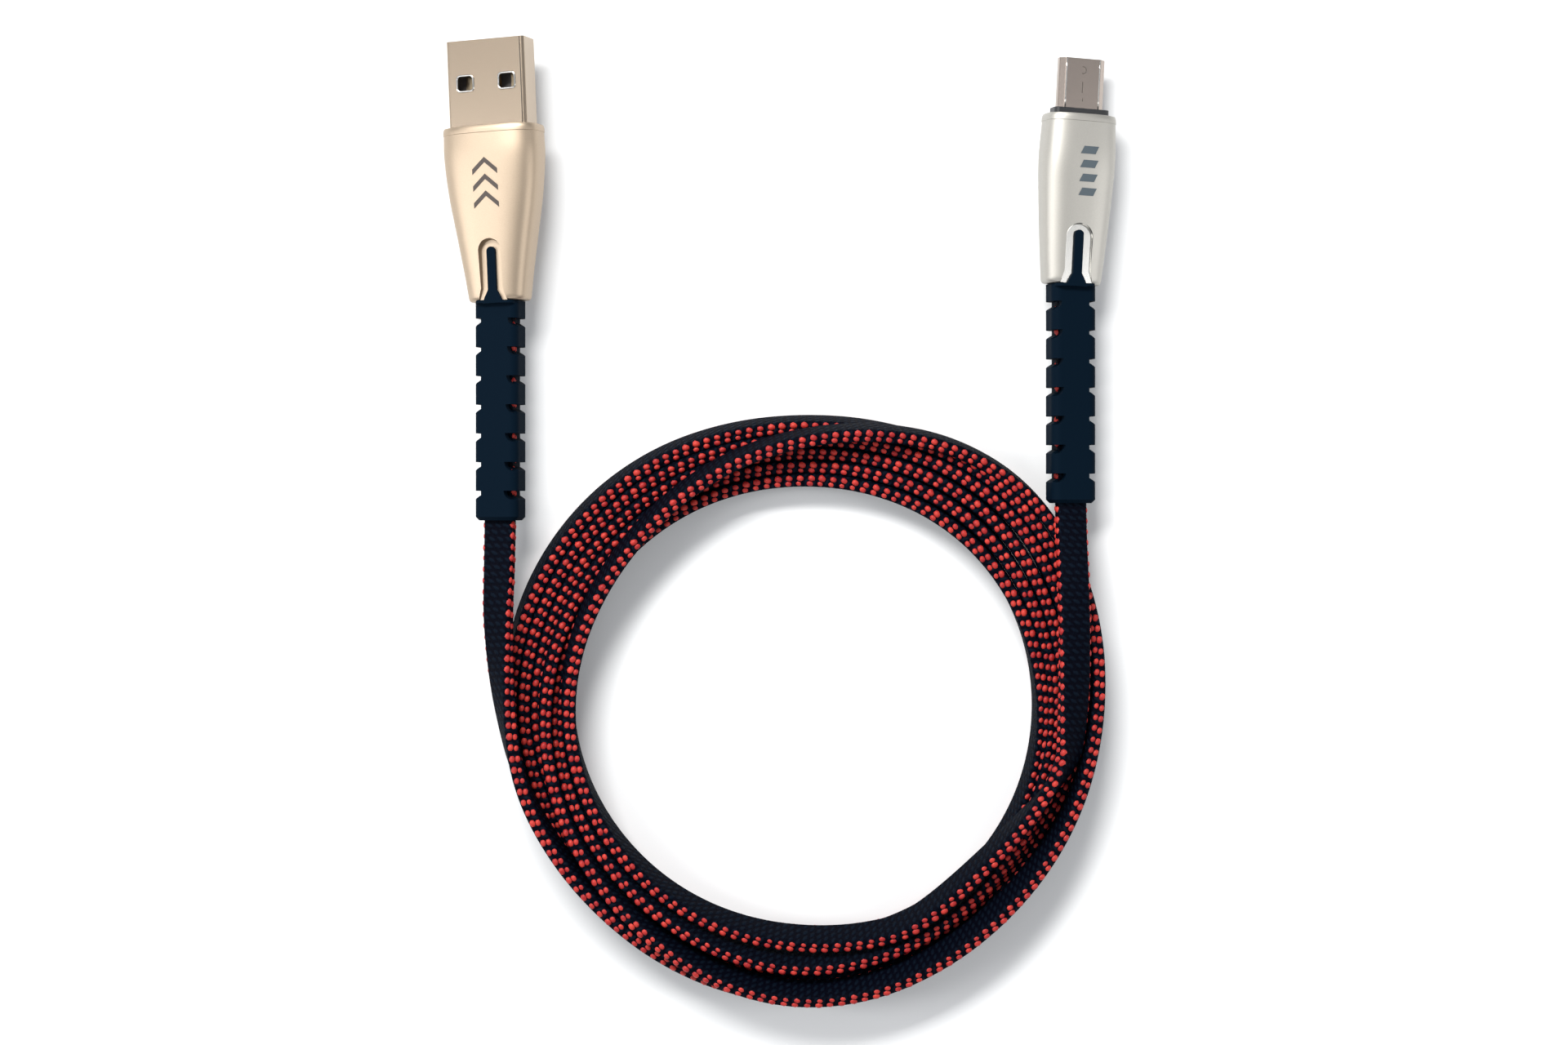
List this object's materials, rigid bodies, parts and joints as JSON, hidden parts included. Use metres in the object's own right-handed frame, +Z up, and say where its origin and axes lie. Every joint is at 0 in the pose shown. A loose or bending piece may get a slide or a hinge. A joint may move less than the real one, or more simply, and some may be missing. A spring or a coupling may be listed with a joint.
{
  "type": "charging cable",
  "caption": "Flat braided charging cable with a USB-A plug and a micro-B plug in metal housings with ribbed strain reliefs, wound into a ring.",
  "frame": {"origin": "on the surface that the cable lies on, at the middle of the two plugs with their strain reliefs", "axes": "+Z up from the surface, +Y the way both plugs point, +X from the USB-A plug to the micro-B plug"},
  "size_m": [0.0972, 0.1405, 0.0108],
  "materials": {
    "satin_champagne": "satin champagne zinc alloy",
    "satin_silver": "fine brushed satin silver",
    "plated_steel": "nickel plated, fine grain",
    "spring_steel": "bright",
    "gold_contact": "gold plated",
    "black_insulator": "moulded",
    "white_insulator": "moulded",
    "inner_mould": "unfinished",
    "wire_insulation": "smooth",
    "relief_rubber": "matt, near black with a blue cast",
    "cable_braid": "tight black braid with red edge stitches"
  },
  "bodies": {
    "cable": {"usb_a_shell": "plated_steel", "usb_a_insulator": "white_insulator", "usb_a_contacts": "gold_contact", "usb_a_inner_mould": "inner_mould", "usb_a_wires": "wire_insulation", "usb_a_crimp": "spring_steel", "usb_a_housing": "satin_champagne", "usb_a_strain_relief": "relief_rubber", "micro_shell": "plated_steel", "micro_insulator": "black_insulator", "micro_base_collar": "black_insulator", "micro_inner_mould": "inner_mould", "micro_wires": "wire_insulation", "micro_crimp": "spring_steel", "micro_housing": "satin_silver", "micro_strain_relief": "relief_rubber", "lead_usb_a": "cable_braid", "lead_micro": "cable_braid", "cord_coil": "cable_braid"},
    "micro_latch_left": {"micro_latch_left": "spring_steel"},
    "micro_latch_right": {"micro_latch_right": "spring_steel"},
    "micro_spring_contacts": {"micro_spring_contacts": "gold_contact"}
  },
  "joints": [
    {"name": "latch_left_press", "type": "hinge", "parent": "cable", "child": "micro_latch_left", "pos_m": [0.04093, 0.02544, 0.00467], "axis": [0.9731, -0.0493, -0.225], "range_deg": [0, 3.8], "stiffness_Nm_per_rad": 0.02},
    {"name": "latch_right_press", "type": "hinge", "parent": "cable", "child": "micro_latch_right", "pos_m": [0.04522, 0.02522, 0.00368], "axis": [0.9731, -0.0493, -0.225], "range_deg": [0, 3.8], "stiffness_Nm_per_rad": 0.02},
    {"name": "contact_flex", "type": "hinge", "parent": "cable", "child": "micro_spring_contacts", "pos_m": [0.04321, 0.02533, 0.00477], "axis": [0.9731, -0.0493, -0.225], "range_deg": [0, 1.5], "stiffness_Nm_per_rad": 0.02}
  ]
}
